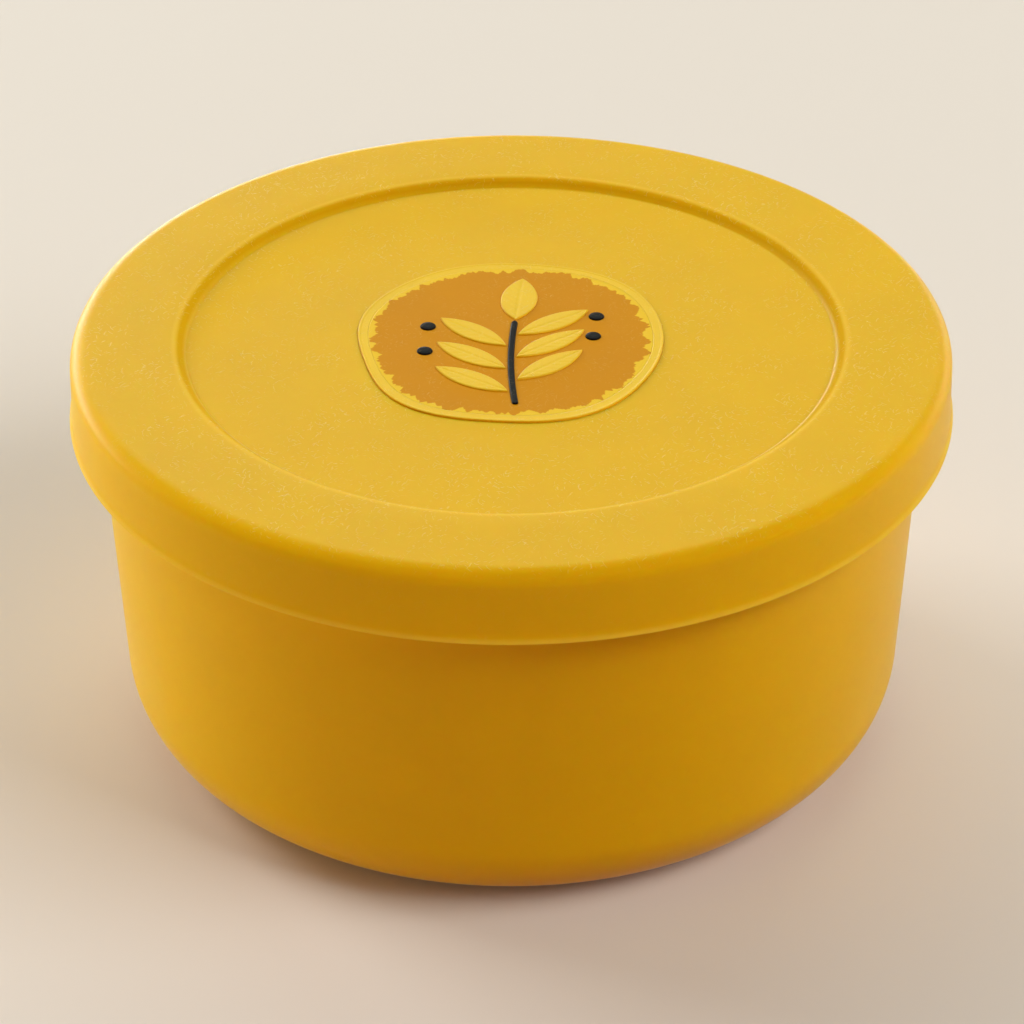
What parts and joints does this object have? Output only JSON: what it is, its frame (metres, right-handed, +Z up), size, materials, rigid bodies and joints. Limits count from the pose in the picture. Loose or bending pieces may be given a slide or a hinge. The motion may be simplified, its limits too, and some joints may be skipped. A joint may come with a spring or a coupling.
{
  "type": "toddler snack container",
  "caption": "Round silicone snack bowl with a press-on lid: recessed top with a raised sprig badge, deep skirt, plug ring with sealing lips under it, soft rounded base.",
  "frame": {"origin": "centre of the foot ring, on the surface that the bowl stands on", "axes": "+Z up along the bowl's axis, +Y towards the tip of the sprig on the lid"},
  "size_m": [0.123, 0.123, 0.06],
  "materials": {
    "silicone": "matte warm yellow silicone, soft to the touch",
    "badge_pale": "matte pale yellow silicone",
    "badge_amber": "matte amber silicone",
    "badge_charcoal": "satin charcoal silicone"
  },
  "bodies": {
    "bowl_body": {"bowl": "silicone"},
    "lid_body": {"lid": "silicone", "badge_backing": "badge_pale", "badge_field": "badge_amber", "badge_stem": "badge_charcoal", "badge_leaf_1": "badge_pale", "badge_leaf_2": "badge_pale", "badge_leaf_3": "badge_pale", "badge_leaf_4": "badge_pale", "badge_leaf_5": "badge_pale", "badge_leaf_6": "badge_pale", "badge_leaf_7": "badge_pale", "badge_berry_1": "badge_charcoal", "badge_berry_2": "badge_charcoal", "badge_berry_3": "badge_charcoal", "badge_berry_4": "badge_charcoal"}
  },
  "joints": [
    {"name": "lid_lift", "type": "slide", "parent": "bowl_body", "child": "lid_body", "axis": [0, 0, 1], "range_m": [0, 0.08]}
  ]
}
